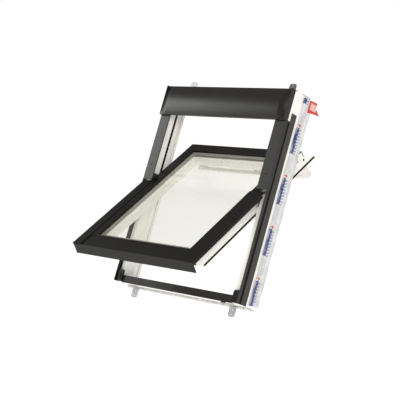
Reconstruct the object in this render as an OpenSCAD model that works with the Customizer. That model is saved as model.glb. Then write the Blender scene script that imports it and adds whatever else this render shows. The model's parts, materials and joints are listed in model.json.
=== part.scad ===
// Centre-pivot roof window, swung open: a white frame with dark aluminium covers and hood,
// a glazed sash that turns on two side hinges, fixing brackets and an insulating collar.
//
// Each piece is drawn in window coordinates: X across, Y up the slope and Z out of the roof.
// Y = 0 is halfway up the frame and Z = 0 is the outer face of the covers.
// Pieces of the sash use the same directions on the sash itself, with Z = 0 on its own outer face.
// on_roof() then tilts everything to the roof pitch, with the origin in the plane of the battens.

/* [Roof] */
// Pitch of the roof that the window is set for, in degrees
pitch = 67; // [60:1:75]
// Angle that the sash stands open from shut, in degrees
open_angle = 38; // [0:1:75]

/* [Frame] */
// Width of the frame over its side cladding
frame_w = 780; // [550:10:1340]
// Height of the frame along the slope
frame_h = 980; // [780:10:1400]
// Width of a frame jamb
jamb_w = 36; // [30:1:50]
// Depth of the frame timber
jamb_deep = 99; // [90:1:130]
// How far the timber lies behind the face of the covers
cover_rise = 19; // [17:1:24]
// Height of the frame head
head_h = 82; // [60:1:90]
// Height of the frame sill
sill_h = 32; // [26:1:36]
// Thickness of the folded aluminium covers
sheet = 1.5; // [1:0.1:2]
// Thickness of the extruded side cladding
cladding_t = 3; // [2:0.5:4]
// Width of the side cladding
cladding_w = 34; // [24:1:36]
// Width of the black channel beside the covers
channel_w = 14; // [10:1:16]
// Width of a cover on an upper jamb
upper_cover_w = 60; // [54:1:66]
// Height above the pivot at which the upper covers start
upper_cover_from = 22; // [22:1:40]

/* [Hood] */
// Height of the hood along the slope
hood_h = 150; // [120:5:180]
// How far the lower edge of the hood stands proud of the covers
hood_edge = 14; // [8:1:20]
// Radius of the hood's rounded face
hood_r = 170; // [120:5:300]
// Length of a hood end cap along the hood
hood_end_w = 20; // [12:1:30]

/* [Sash] */
// Clearance between the sash and a jamb on each side
sash_gap = 5; // [5:0.5:8]
// Outer edge of the lower sash covers, measured in from the frame's side
lower_cover_inset = 8; // [6:1:12]
// Depth of the sash
sash_deep = 88; // [80:1:96]
// Height of the pivot axis below the outer face
pivot_deep = 25; // [22:1:28]
// Clear gap between the turning sash and the frame head or sill
turn_gap = 4; // [3:0.5:8]
// Width of a sash stile
stile_w = 44; // [38:1:56]
// Height of the sash bottom rail
bottom_rail_h = 53; // [44:1:60]
// Width of the glass that shows
sight_w = 584; // [360:4:1140]
// Step down from the lower covers to the upper ones
upper_step = 8; // [6:1:10]
// How far the bottom cover hangs over the foot of the frame
drip_over = 32; // [20:1:40]
// Height of the slanted drip edge
drip_h = 50; // [30:1:56]

/* [Glass] */
// Thickness of one pane
pane_t = 4; // [3:1:6]
// Gap between the two panes
cavity = 16; // [12:1:20]
// Depth of the glass below the outer face
glass_deep = 14; // [12:1:16]

/* [Hinge] */
// Radius of the pivot pin
pin_r = 6; // [4:0.5:7]
// Running clearance round the pivot pin
pin_clear = 0.05; // [0.02:0.01:0.1]
// Thickness of the frame's hinge plate
hinge_plate_t = 6; // [5:0.5:8]
// Height of a hinge plate
hinge_plate_h = 110; // [80:5:140]

/* [Control bar] */
// Length of the control bar
bar_l = 664; // [400:4:1200]
// Radius of the control bar
bar_r = 10; // [8:1:14]
// Thickness of one arm of the bar
arm_t = 14; // [10:1:20]
// Radius of the arm's pivot pins
arm_pin_r = 3; // [2:0.5:4]

/* [Fixing] */
// Distance of the brackets from the middle of the frame
bracket_x = 310; // [200:10:560]
// Width of a bracket
bracket_w = 40; // [30:1:60]
// How far a bracket reaches past the frame
bracket_reach = 55; // [40:1:80]
// Thickness of the bracket steel
bracket_t = 2.5; // [2:0.5:4]
// Radius of the screw holes in a bracket
bracket_hole_r = 2.75; // [2:0.25:4]
// Depth of the battens below the face of the covers
batten_deep = 82; // [70:1:90]

/* [Collar] */
// Thickness of the insulating collar
collar_t = 11; // [6:1:20]
// Width of the insulating collar
collar_w = 58; // [40:1:80]

/* [Hidden] */
$fn = 48;

// Colours
WHITE = [0.90, 0.89, 0.87];
DARK = [0.16, 0.16, 0.15];
GREY = [0.42, 0.42, 0.41];
BLACK = [0.05, 0.05, 0.05];
ZINC = [0.72, 0.72, 0.72];

// Frame section
half_w = frame_w / 2;
half_h = frame_h / 2;
timber_x = half_w - cladding_t;
inner_x = timber_x - jamb_w;
front_z = -cover_rise;
back_z = front_z - jamb_deep;
head_y = half_h - head_h;
sill_y = -half_h + sill_h;
channel_z = front_z - channel_w;
cladding_z = channel_z - cladding_w;
cladding_top = half_h - 102;
hood_y = half_h - hood_h + 2;
cover_end_y = hood_y + 6;
foot_w = 7;

// Gasket in the inner face of the frame
gasket_z = front_z - 39;
gasket_w = 12;
gasket_in = 4;
gasket_out = 1.5;

// Sash section: its heights follow from the arcs that clear the head and the sill
timber_half = inner_x - sash_gap - 2;
sash_half = timber_half + 2;
lower_half = half_w - lower_cover_inset;
sight_half = sight_w / 2;
sash_back = -sash_deep;
back_below_pivot = sash_deep - pivot_deep;
lip_top = floor(sqrt(pow(head_y - turn_gap, 2) - pow(back_below_pivot, 2)));
rail_foot = -floor(sqrt(pow(-sill_y - turn_gap - sheet, 2) - pow(back_below_pivot, 2)));
sash_top = lip_top - 68;
rail_low = sash_top - 62;
drip_y = -half_h - drip_over;
stile_in = timber_half - stile_w;
glass_back = -glass_deep - 2 * pane_t - cavity;
rebate = glass_back - 2;
pane_half = sight_half + 18;
pane_top = rail_low + 18;
pane_foot = rail_foot + 2;
sight_top = rail_low + 6;
sight_foot = rail_foot + 10;
cover_start = -5;
flange_start = -30;
flange_clear = 2;
lower_flange = 15;
upper_flange = pivot_deep - pin_r - upper_step - flange_clear;
cover_step_x = 330 - 390 + half_w;
cover_step = 3;
bottom_cover_z = -cover_step - sheet;
corner_clear = 2;
seal_z = sash_back + 4;
seal_w = 9;

// Hinges
hinge_top = front_z;
hinge_w = 33;
sash_plate_t = 2;
frame_plate_x = inner_x + 3 - hinge_plate_t;
hinge_cap_y = [6, 17];
hinge_cap_rise = 9;

// Control bar, in sash coordinates: its pivot and the middle of the bar
arm_pivot = [sash_top - 2, sash_back - 12];
bar_at = [sash_top - 30, sash_back - 42];
arm_hole_r = arm_pin_r + 0.1;
lug_t = 5;
lug_gap = 0.5;
middle_arm_x = 36;
arm_x = [-bar_l / 2 + arm_t / 2, middle_arm_x, bar_l / 2 - arm_t / 2];

// Latch on the top of the sash
case_w = 60;
case_h = 36;
case_deep = 12;
tongue_w = 24;
tongue_h = 26;
tongue_t = 6;
latch_clear = 0.3;

// Fixings
screw_head_r = 4;
screw_r = 2;
bracket_screw_r = 2.45;
pilot_r = 2.5;
pilot_deep = 25;
upper_screw = [timber_x - 27, 92];

// --- placing -------------------------------------------------------------------------------

module on_roof() {
    rotate([pitch, 0, 0]) translate([0, 0, batten_deep]) children();
}

module on_sash() {
    on_roof() translate([0, 0, -pivot_deep]) rotate([-open_angle, 0, 0])
        translate([0, 0, pivot_deep]) children();
}

// Runs a Y-Z outline across the window
module along_x(x0, x1) {
    translate([x0, 0, 0]) rotate([90, 0, 90]) linear_extrude(x1 - x0) children();
}

// Runs an X-Z outline up the slope
module along_y(y0, y1) {
    translate([0, y1, 0]) rotate([90, 0, 0]) linear_extrude(y1 - y0) children();
}

// A box between two corners, in any order
module block(a, b) {
    low = [for (i = [0:2]) min(a[i], b[i])];
    high = [for (i = [0:2]) max(a[i], b[i])];
    translate(low) cube(high - low);
}

// A flat rectangle between two corners
module panel(a, b) {
    low = [for (i = [0:1]) min(a[i], b[i])];
    high = [for (i = [0:1]) max(a[i], b[i])];
    translate(low) square(high - low);
}

module on_side(side) {
    if (side < 0) mirror([1, 0, 0]) children();
    else children();
}

// --- frame timber ----------------------------------------------------------------------------

module frame_jamb(side) {
    color(WHITE) on_roof() on_side(side) difference() {
        along_y(-half_h, half_h) difference() {
            panel([inner_x, back_z], [timber_x, front_z]);
            panel([inner_x - 1, gasket_z - gasket_w], [inner_x + gasket_in, gasket_z]);
            panel([inner_x - 1, back_z + 14], [inner_x + 8, back_z + 22]);
        }
        block([inner_x - 1, -hinge_plate_h / 2, hinge_top - hinge_w],
              [inner_x + 3, hinge_plate_h / 2, hinge_top]);
        translate([inner_x + 2, 0, -pivot_deep]) rotate([0, 90, 0])
            cylinder(r = pin_r + 1, h = 3);
    }
}

module frame_head() {
    color(WHITE) on_roof() difference() {
        along_x(-inner_x, inner_x) panel([head_y, back_z], [half_h, front_z]);
        for (x = [-bracket_x, bracket_x]) bracket_pilots(x, 1);
    }
}

module frame_sill() {
    color(WHITE) on_roof() difference() {
        along_x(-inner_x, inner_x) panel([-half_h, back_z], [sill_y, front_z]);
        for (x = [-bracket_x, bracket_x]) bracket_pilots(x, -1);
    }
}

module frame_gasket() {
    color(BLACK) on_roof() {
        for (side = [-1, 1]) on_side(side) along_y(hinge_plate_h / 2 + 5, head_y - 1)
            panel([inner_x - gasket_out, gasket_z - gasket_w], [inner_x + gasket_in, gasket_z]);
    }
}

// --- cladding and covers on the frame ----------------------------------------------------------

module side_cladding(side) {
    rib = 5;
    color(GREY) on_roof() on_side(side) along_y(-half_h, cladding_top) difference() {
        panel([timber_x, cladding_z], [half_w, channel_z]);
        for (z = [cladding_z + 4 : 2 * rib : channel_z - 6])
            panel([half_w - 1, z], [half_w + 1, z + rib]);
    }
}

module side_channel(side) {
    color(BLACK) on_roof() on_side(side) along_y(-half_h, cover_end_y)
        panel([timber_x, channel_z], [timber_x + 1.2, front_z]);
}

// The flange that stands on the timber round the sash, with its screw foot
module side_flange() {
    panel([half_w - sheet, front_z - 2], [half_w, 0]);
    panel([timber_x - foot_w, front_z], [half_w, front_z + sheet]);
}

module lower_jamb_cover(side) {
    color(DARK) on_roof() on_side(side)
        along_y(-half_h, upper_cover_from - 1) side_flange();
}

module upper_cover(side) {
    color(DARK) on_roof() on_side(side) difference() {
        along_y(upper_cover_from, cover_end_y) {
            side_flange();
            panel([half_w - upper_cover_w, -sheet], [half_w, 0]);
            panel([half_w - upper_cover_w, -5], [half_w - upper_cover_w + sheet, 0]);
        }
        translate([upper_screw.x, upper_screw.y, -sheet - 1]) cylinder(r = screw_r + 0.2, h = 5);
    }
}

// Outline of the hood: a rounded face over a flat back, grown outward by some thickness
module hood_outline(grow) {
    foot = [hood_y, hood_edge];
    top = [half_h + 2, 0];
    run = top - foot;
    half_chord = norm(run) / 2;
    out = [-run.y, run.x] / norm(run);
    centre = (foot + top) / 2 - out * sqrt(pow(hood_r, 2) - pow(half_chord, 2));
    intersection() {
        translate(centre) circle(r = hood_r + grow, $fn = 180);
        panel([hood_y - max(grow, 0), 0], [half_h + 2 + max(grow, 0), hood_r]);
    }
}

module hood() {
    color(DARK) on_roof() along_x(-half_w, half_w) {
        difference() {
            hood_outline(0);
            intersection() {
                hood_outline(-sheet);
                panel([hood_y + sheet, 0.5 + sheet], [half_h + 2 - sheet, hood_r]);
            }
            panel([hood_y + 9, -1], [half_h - 20, 0.5 + 2 * sheet]);
            panel([hood_y - 1, -1], [half_h - 20, 0.5]);
        }
        panel([half_h, front_z - 12], [half_h + 2, 0.5]);
    }
}

module hood_end(side) {
    color(BLACK) on_roof() on_side(side) {
        along_x(half_w - hood_end_w, half_w + 2) difference() {
            hood_outline(1.2);
            panel([hood_y - 5, -1], [half_h + 5, 0.5]);
            hood_outline(0);
        }
        along_x(half_w, half_w + 2) panel([hood_y + 8, front_z + 4], [half_h + 1, hood_edge]);
        along_x(half_w, half_w + 2) intersection() {
            hood_outline(0.6);
            panel([hood_y, 0.5], [half_h + 2, hood_r]);
        }
        block([timber_x - 12, cover_end_y + 1, -6], [half_w + 1, half_h - 6, -0.5]);
        block([timber_x - 12, cover_end_y + 1, front_z], [timber_x, half_h - 6, -5]);
    }
}

module sill_cover() {
    color(DARK) on_roof() difference() {
        along_x(-inner_x, inner_x) {
            panel([-half_h, front_z], [sill_y + sheet, front_z + sheet]);
            panel([-half_h - sheet, front_z - 8], [-half_h, front_z + sheet]);
            panel([sill_y, front_z - 34], [sill_y + sheet, front_z + sheet]);
        }
        translate([0, -half_h + sill_h / 2, front_z - 1]) cylinder(r = screw_r + 0.2, h = 5);
    }
}

module corner_block(side) {
    block_w = 28;
    block_h = 56;
    block_rise = cover_rise + bottom_cover_z - sheet - corner_clear;
    color(BLACK) on_roof() on_side(side) translate([inner_x, -half_h + 2, front_z])
        difference() {
            linear_extrude(block_rise) {
                square([block_w, block_h - 10]);
                translate([10, 0]) square([block_w - 10, block_h]);
                translate([10, block_h - 10]) circle(r = 10);
            }
            translate([6, 6, block_rise - 4]) cube([4, block_h - 20, 5]);
            translate([14, 6, block_rise - 4]) cube([4, block_h - 16, 5]);
        }
}

module sill_foot() {
    color(BLACK) on_roof()
        block([inner_x - 65, -half_h - sheet - 5, front_z - 7],
              [inner_x - 42, -half_h - sheet, front_z + 1]);
}

// --- fixing brackets ---------------------------------------------------------------------------

bracket_leg = 30;
bracket_bend = 2;
bracket_screw_dx = 11;
bracket_screw_z = -batten_deep + bracket_t + bracket_leg / 2;

// Pilot holes in the end of the frame for the two screws of one bracket
module bracket_pilots(x, end) {
    for (dx = [-bracket_screw_dx, bracket_screw_dx])
        translate([x + dx, end * (half_h + 1), bracket_screw_z]) rotate([end * 90, 0, 0])
            cylinder(r = pilot_r, h = pilot_deep + 1);
}

module bracket(side, end) {
    color(ZINC) on_roof() on_side(side) mirror([0, end < 0 ? 1 : 0, 0])
        translate([bracket_x, half_h, -batten_deep]) difference() {
            along_x(-bracket_w / 2, bracket_w / 2) polygon([
                [bracket_bend, 0], [bracket_reach, 0], [bracket_reach, bracket_t],
                [bracket_t, bracket_t], [bracket_t, bracket_leg], [0, bracket_leg],
                [0, bracket_bend]]);
            for (y = [bracket_reach - 10, bracket_reach - 32])
                translate([0, y, -1]) cylinder(r = bracket_hole_r, h = bracket_t + 2);
            for (dx = [-bracket_screw_dx, bracket_screw_dx])
                translate([dx, -1, bracket_t + bracket_leg / 2]) rotate([-90, 0, 0])
                    cylinder(r = pilot_r, h = bracket_t + 2);
        }
}

module bracket_screws() {
    color(ZINC) on_roof() for (end = [-1, 1], x = [-bracket_x, bracket_x],
                               dx = [-bracket_screw_dx, bracket_screw_dx])
        mirror([0, end < 0 ? 1 : 0, 0]) translate([x + dx, half_h, bracket_screw_z])
            rotate([-90, 0, 0]) {
                translate([0, 0, 1 - pilot_deep])
                    cylinder(r = bracket_screw_r, h = pilot_deep - 1 + bracket_t);
                translate([0, 0, bracket_t]) cylinder(r = 4.5, h = 2.2);
            }
}

module cover_screws() {
    color(ZINC) on_roof() {
        for (x = [-upper_screw.x, upper_screw.x]) translate([x, upper_screw.y, 0])
            screw(cover_rise);
        translate([0, -half_h + sill_h / 2, front_z + sheet]) screw(sheet);
    }
}

module screw(shank) {
    translate([0, 0, -shank]) cylinder(r = screw_r, h = shank);
    cylinder(r = screw_head_r, h = 0.8);
    translate([0, 0, 0.8]) cylinder(r1 = screw_head_r, r2 = screw_head_r - 1.2, h = 0.8, $fn = 24);
}

// --- insulating collar -------------------------------------------------------------------------

collar_z = -batten_deep - 2.5;

module collar_side(side) {
    color(WHITE) on_roof() on_side(side) along_y(-half_h + 10, half_h - 6) {
        panel([timber_x, back_z], [timber_x + collar_t, collar_z]);
        panel([timber_x - 4, collar_z - collar_w], [timber_x + collar_t, back_z]);
    }
}

module collar_end(end) {
    color(WHITE) on_roof() mirror([0, end < 0 ? 1 : 0, 0])
        along_x(-timber_x + 6, timber_x - 6) {
            panel([half_h, back_z], [half_h + collar_t, collar_z]);
            panel([half_h - 4, collar_z - collar_w], [half_h + collar_t, back_z]);
        }
}

module label_tag() {
    color([0.75, 0.16, 0.14]) on_roof() along_x(timber_x + collar_t, timber_x + collar_t + 1)
        polygon([[half_h - 67, back_z - 1], [half_h - 8, back_z - 2], [half_h - 4, back_z - 50],
                 [half_h - 31, back_z - 53], [half_h - 54, back_z - 84], [half_h - 58, back_z - 47]]);
}

// --- hinges ------------------------------------------------------------------------------------

module frame_hinge(side) {
    color(ZINC) on_roof() on_side(side) difference() {
        union() {
            block([frame_plate_x, -hinge_plate_h / 2, hinge_top - hinge_w],
                  [inner_x + 3, hinge_plate_h / 2, hinge_top]);
            block([inner_x, hinge_cap_y[0], front_z],
                  [timber_x - foot_w - 2, hinge_cap_y[1], front_z + hinge_cap_rise]);
        }
        translate([frame_plate_x - 1, 0, -pivot_deep]) rotate([0, 90, 0])
            cylinder(r = pin_r + pin_clear, h = hinge_plate_t + 2);
    }
}

module sash_hinge(side) {
    color(ZINC) on_sash() on_side(side) {
        block([timber_half, -hinge_plate_h / 2 + 5, -pivot_deep - pin_r - 12],
              [timber_half + sash_plate_t, hinge_plate_h / 2 - 5, -upper_step - upper_flange - 0.5]);
        translate([timber_half, 0, -pivot_deep]) rotate([0, 90, 0])
            cylinder(r = pin_r, h = inner_x + 2.5 - timber_half);
    }
}

// --- sash timber -------------------------------------------------------------------------------

module sash_stile(side) {
    color(WHITE) on_sash() on_side(side) along_y(rail_foot, rail_low) difference() {
        panel([stile_in, sash_back], [timber_half, -upper_step - sheet]);
        panel([stile_in - 1, rebate], [pane_half + 2, 1]);
        panel([timber_half - 3, sash_back + 28], [timber_half + 1, sash_back + 33]);
    }
}

module sash_top_rail() {
    face = -upper_step - sheet;
    color(WHITE) on_sash() along_x(-timber_half, timber_half) polygon([
        [rail_low, sash_back], [lip_top, sash_back], [lip_top, sash_back + 9],
        [sash_top + 8, -35], [sash_top - sheet, -35], [sash_top - sheet, face],
        [pane_top + 2, face], [pane_top + 2, rebate], [rail_low, rebate]]);
}

module sash_bottom_rail() {
    color(WHITE) on_sash() along_x(-stile_in, stile_in)
        panel([rail_foot, sash_back], [rail_foot + bottom_rail_h, rebate]);
}

module sash_seal() {
    color(BLACK) on_sash() {
        for (side = [-1, 1]) on_side(side) along_y(rail_foot + 1, lip_top - 2)
            panel([timber_half, seal_z], [timber_half + 2, seal_z + seal_w]);
        along_x(-stile_in, stile_in) panel([rail_foot - 1.5, seal_z], [rail_foot, seal_z + seal_w]);
    }
}

// --- glazing -----------------------------------------------------------------------------------

module pane(z) {
    color([0.80, 0.85, 0.80, 0.35]) on_sash()
        block([-pane_half, pane_foot, z - pane_t], [pane_half, pane_top, z]);
}

// A flat ring round the glass, from some distance outside its edge to some distance inside
module glass_ring(low, high, x_in, x_out, y_foot_in, y_foot_out, y_top_in, y_top_out) {
    difference() {
        block([-x_out, y_foot_out, low], [x_out, y_top_out, high]);
        block([-x_in, y_foot_in, low - 1], [x_in, y_top_in, high + 1]);
    }
}

module glass_spacer() {
    front = -glass_deep - pane_t;
    color(GREY) on_sash() glass_ring(front - cavity, front, sight_half + 4, pane_half - 4,
        pane_foot + 12, pane_foot + 4, pane_top - 12, pane_top - 4);
}

module glazing_gasket() {
    color(BLACK) on_sash() glass_ring(-glass_deep, -glass_deep + 1.5, sight_half - 2,
        sight_half + 6, sight_foot - 2, sight_foot - 7, sight_top - 2, sight_top + 6);
}

module glazing_bead() {
    color(GREY) on_sash() along_x(-sight_half, sight_half) polygon([
        [sight_foot - 6, -glass_deep + 1.5], [sight_foot - 1, -glass_deep + 1.5],
        [sight_foot - 1, -6], [sight_foot - 3, -2], [sight_foot - 6, -2]]);
}

// --- sash covers -------------------------------------------------------------------------------

module sash_cover_lower(side) {
    low = -cover_step;
    color(DARK) on_sash() on_side(side) {
        along_y(drip_y, cover_start) {
            panel([cover_step_x, -sheet], [lower_half, 0]);
            panel([cover_step_x, low - sheet], [cover_step_x + sheet, 0]);
        }
        along_y(sight_foot - 6, cover_start) {
            panel([sight_half, low - sheet], [cover_step_x + sheet, low]);
            panel([sight_half, -glass_deep + 1.5], [sight_half + sheet, low]);
        }
        along_y(drip_y, flange_start)
            panel([lower_half - sheet, -lower_flange], [lower_half, 0]);
        along_y(rail_foot + 1, cover_start - 10)
            panel([cover_step_x - 4, -upper_step - sheet], [cover_step_x + 4, low - sheet]);
    }
}

module sash_cover_upper(side) {
    face = -upper_step;
    color(DARK) on_sash() on_side(side) along_y(cover_start + 0.5, sight_top) {
        panel([sight_half, face - sheet], [sash_half, face]);
        panel([sight_half, -glass_deep + 1.5], [sight_half + sheet, face]);
        panel([timber_half, face - upper_flange], [sash_half, face]);
    }
}

module sash_cover_top() {
    face = -upper_step;
    color(DARK) on_sash() along_x(-sash_half, sash_half) {
        panel([sight_top, face - sheet], [sash_top, face]);
        panel([sight_top, -glass_deep + 1.5], [sight_top + sheet, face]);
        panel([sash_top - sheet, -34], [sash_top, face]);
    }
}

module sash_cover_bottom() {
    face = bottom_cover_z;
    slant = 5;
    color(DARK) on_sash() {
        along_x(-lower_half + 2 * sheet, lower_half - 2 * sheet) {
            panel([drip_y, face - sheet], [rail_foot - 1, face]);
            polygon([[drip_y + sheet, face], [drip_y, face], [drip_y - slant, face - drip_h],
                     [drip_y - slant + sheet, face - drip_h]]);
        }
        along_x(-stile_in, stile_in) {
            panel([rail_foot - 1, face - sheet], [sight_foot - 6, face]);
            panel([rail_foot - 1.5, rebate], [rail_foot, face]);
            panel([rail_foot - 1.5, rebate], [rail_foot + 12, rebate + 1.5]);
        }
        translate([0, (drip_y + rail_foot) / 2, face]) cylinder(r = screw_head_r, h = 1.2);
    }
}

// --- control bar and latch ---------------------------------------------------------------------

module bar_lug(x) {
    along_x(x - lug_t / 2, x + lug_t / 2) difference() {
        union() {
            polygon([arm_pivot + [-8, 0], [arm_pivot.x - 13, sash_back],
                     [arm_pivot.x + 13, sash_back], arm_pivot + [8, 0]]);
            translate(arm_pivot) circle(r = 8);
        }
        translate(arm_pivot) circle(r = arm_pin_r);
    }
}

module bar_lugs() {
    off = arm_t / 2 + lug_gap + lug_t / 2;
    color(WHITE) on_sash() for (x = arm_x) {
        for (side = [-1, 1]) bar_lug(x + side * off);
        translate([x - off - lug_t / 2, arm_pivot.x, arm_pivot.y]) rotate([0, 90, 0])
            cylinder(r = arm_pin_r, h = 2 * off + lug_t);
    }
}

// One arm: a six-cornered plate that hangs from the pivot and holds the bar on its lower side
module bar_arm() {
    difference() {
        union() {
            translate(arm_pivot) circle(r = 8);
            polygon([arm_pivot + [-8, 0], arm_pivot + [8, 0], bar_at + [43, 21], bar_at + [56, -16],
                     bar_at + [48, -21], bar_at + [12, -21], bar_at + [3, -bar_r + 1],
                     bar_at + [3, bar_r - 1]]);
        }
        translate(arm_pivot) circle(r = arm_hole_r);
    }
}

module control_bar() {
    color(WHITE) on_sash() {
        for (x = arm_x) along_x(x - arm_t / 2, x + arm_t / 2) bar_arm();
        translate([-bar_l / 2, bar_at.x, bar_at.y]) rotate([0, 90, 0])
            cylinder(r = bar_r, h = bar_l);
    }
}

module tongue_space(clear) {
    block([-tongue_w / 2 - clear, lip_top - tongue_h - 1 - clear, sash_back - 3 - tongue_t - clear],
          [tongue_w / 2 + clear, lip_top - 1 + (clear > 0 ? 20 : 0), sash_back - 3 + clear]);
}

module lock_case() {
    color(ZINC) on_sash() difference() {
        block([-case_w / 2, lip_top - case_h, sash_back - case_deep],
              [case_w / 2, lip_top, sash_back]);
        tongue_space(latch_clear);
    }
}

module latch_tongue() {
    color(ZINC) on_sash() tongue_space(0);
}

module lock_keeper() {
    color(ZINC) on_roof() along_x(-case_w / 2, case_w / 2) {
        panel([head_y - 3, back_z], [head_y, back_z + 13]);
        panel([head_y - 6, back_z + 9], [head_y, back_z + 12]);
    }
}

// --- nodes -------------------------------------------------------------------------------------

frame_jamb(-1);  // frame_jamb_left
frame_jamb(1);  // frame_jamb_right
frame_head();
frame_sill();
frame_gasket();
side_cladding(-1);  // side_cladding_left
side_cladding(1);  // side_cladding_right
side_channel(-1);  // side_channel_left
side_channel(1);  // side_channel_right
lower_jamb_cover(-1);  // lower_jamb_cover_left
lower_jamb_cover(1);  // lower_jamb_cover_right
upper_cover(-1);  // upper_cover_left
upper_cover(1);  // upper_cover_right
hood();
hood_end(-1);  // hood_end_left
hood_end(1);  // hood_end_right
sill_cover();
corner_block(-1);  // corner_block_left
corner_block(1);  // corner_block_right
sill_foot();
bracket(-1, 1);  // bracket_top_left
bracket(1, 1);  // bracket_top_right
bracket(-1, -1);  // bracket_bottom_left
bracket(1, -1);  // bracket_bottom_right
bracket_screws();
collar_side(-1);  // collar_left
collar_side(1);  // collar_right
collar_end(1);  // collar_top
collar_end(-1);  // collar_bottom
label_tag();
frame_hinge(-1);  // frame_hinge_left
frame_hinge(1);  // frame_hinge_right
cover_screws();
lock_keeper();
sash_stile(-1);  // sash_stile_left
sash_stile(1);  // sash_stile_right
sash_top_rail();
sash_bottom_rail();
pane(-glass_deep);  // glass_outer
pane(-glass_deep - pane_t - cavity);  // glass_inner
glass_spacer();
glazing_gasket();
glazing_bead();
sash_cover_lower(-1);  // sash_cover_lower_left
sash_cover_lower(1);  // sash_cover_lower_right
sash_cover_upper(-1);  // sash_cover_upper_left
sash_cover_upper(1);  // sash_cover_upper_right
sash_cover_top();
sash_cover_bottom();
sash_seal();
sash_hinge(-1);  // sash_hinge_left
sash_hinge(1);  // sash_hinge_right
bar_lugs();
lock_case();
control_bar();
latch_tongue();
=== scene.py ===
import json
from math import atan2, cos, pi, radians, sin

import bpy
from mathutils import Matrix, Vector, noise


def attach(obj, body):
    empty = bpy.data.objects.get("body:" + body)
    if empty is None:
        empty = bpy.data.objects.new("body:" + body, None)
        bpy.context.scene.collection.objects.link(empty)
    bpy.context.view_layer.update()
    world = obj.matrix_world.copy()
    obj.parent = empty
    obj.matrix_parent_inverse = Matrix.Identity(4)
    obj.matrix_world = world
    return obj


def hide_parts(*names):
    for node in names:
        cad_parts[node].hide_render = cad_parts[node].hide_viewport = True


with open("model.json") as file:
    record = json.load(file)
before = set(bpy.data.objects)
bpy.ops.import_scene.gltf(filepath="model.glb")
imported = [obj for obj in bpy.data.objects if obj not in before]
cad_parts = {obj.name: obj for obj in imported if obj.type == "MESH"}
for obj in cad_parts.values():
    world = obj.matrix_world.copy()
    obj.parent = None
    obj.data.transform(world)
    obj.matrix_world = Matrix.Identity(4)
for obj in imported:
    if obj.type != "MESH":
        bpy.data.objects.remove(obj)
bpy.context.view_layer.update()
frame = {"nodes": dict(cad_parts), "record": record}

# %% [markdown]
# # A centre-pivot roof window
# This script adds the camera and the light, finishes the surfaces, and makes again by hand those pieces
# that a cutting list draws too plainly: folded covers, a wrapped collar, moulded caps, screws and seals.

nodes = frame["nodes"]

# %% [markdown]
# ## Two benches
# Nobody builds a window on the roof. It is easier to draw a piece lying flat, with X across the window,
# Y up the slope and Z out of the roof, and to tilt it afterwards. One matrix tilts a piece to the roof,
# and a second one turns it with the open sash about the pivot. All lengths are metres, so a small `mm`
# turns the millimetres of a workshop drawing into metres.

# %% The benches
def mm(*values):
    return values[0] / 1000 if len(values) == 1 else Vector(values) / 1000


PITCH, SWING = radians(67), radians(38)
BATTENS, PIVOT = mm(82), mm(25)
ON_ROOF = Matrix.Rotation(PITCH, 4, "X") @ Matrix.Translation((0, 0, BATTENS))
ON_SASH = (ON_ROOF @ Matrix.Translation((0, 0, -PIVOT)) @ Matrix.Rotation(-SWING, 4, "X")
           @ Matrix.Translation((0, 0, PIVOT)))


def measured(node, place):
    """The lowest and highest corner of a part, in the directions of its bench."""
    back = place.inverted()
    points = [back @ corner.co for corner in nodes[node].data.vertices]
    return tuple(Vector([pick(p[i] for p in points) for i in range(3)]) for pick in (min, max))


for node, place in (("hood", ON_ROOF), ("sash_cover_bottom", ON_SASH)):
    low, high = measured(node, place)
    print(node, "lies from", [round(v * 1000) for v in low], "to", [round(v * 1000) for v in high], "mm")

# %% [markdown]
# ## The camera
# The window is seen from the right, from a little above its middle and from more than five metres away, so
# its long edges stay nearly parallel. LOOK holds the picture's right, down and forward directions and EYE
# the camera's place, both on the roof bench. A camera looks along its own -Z with +Y up. FOCAL is the focal
# length as a multiple of the sensor's width.

# %% Camera
FOCAL = 2.921625
EYE = Vector((3.67621, -0.94707, 3.76361))
LOOK = Matrix(((0.721814, 0.265633, -0.63908),
               (0.081068, -0.949505, -0.303098),
               (-0.687322, 0.166972, -0.706901)))
camera_data = bpy.data.cameras.new("camera")
camera_data.sensor_width = 36
camera_data.lens = FOCAL * camera_data.sensor_width
camera = bpy.data.objects.new("camera", camera_data)
bpy.context.scene.collection.objects.link(camera)
right, down, forward = LOOK
axes = Matrix((right, -down, -forward)).transposed()
camera.matrix_world = (Matrix.Rotation(PITCH, 4, "X")
                       @ Matrix.Translation(EYE + Vector((0, 0, BATTENS))) @ axes.to_4x4())
bpy.context.scene.camera = camera
print("camera at", [round(v, 2) for v in camera.matrix_world.translation],
      "with a", round(camera_data.lens), "mm lens")

# %% [markdown]
# ## Hand tools
# An operator works on whatever is selected, and the whole frame is selected after loading. So every step
# starts by letting go of everything. `choose` then opens one piece in edit mode with only those corners,
# edges or faces selected that pass a test on their place, as a modeller would pick them with the mouse.

# %% Picking things up
KINDS = {"vertices": (True, False, False), "edges": (False, True, False), "polygons": (False, False, True)}


def lay_down():
    if bpy.context.mode != "OBJECT":
        bpy.ops.object.mode_set(mode="OBJECT")
    bpy.ops.object.select_all(action="DESELECT")


def pick_up(piece):
    lay_down()
    piece.select_set(True)
    bpy.context.view_layer.objects.active = piece


def choose(piece, kind, wanted):
    """Edit mode on a piece, with the wanted elements selected. Faces are tested by centre and normal."""
    pick_up(piece)
    mesh = piece.data
    bpy.context.tool_settings.mesh_select_mode = KINDS[kind]
    for group in (mesh.vertices, mesh.edges, mesh.polygons):
        group.foreach_set("select", [False] * len(group))
    for element in getattr(mesh, kind):
        if kind == "vertices":
            element.select = wanted(element.co)
        elif kind == "edges":
            element.select = wanted(*(mesh.vertices[i].co for i in element.vertices))
        else:
            element.select = wanted(element.center, element.normal)
    bpy.ops.object.mode_set(mode="EDIT")


def everything(*_):
    return True


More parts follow.
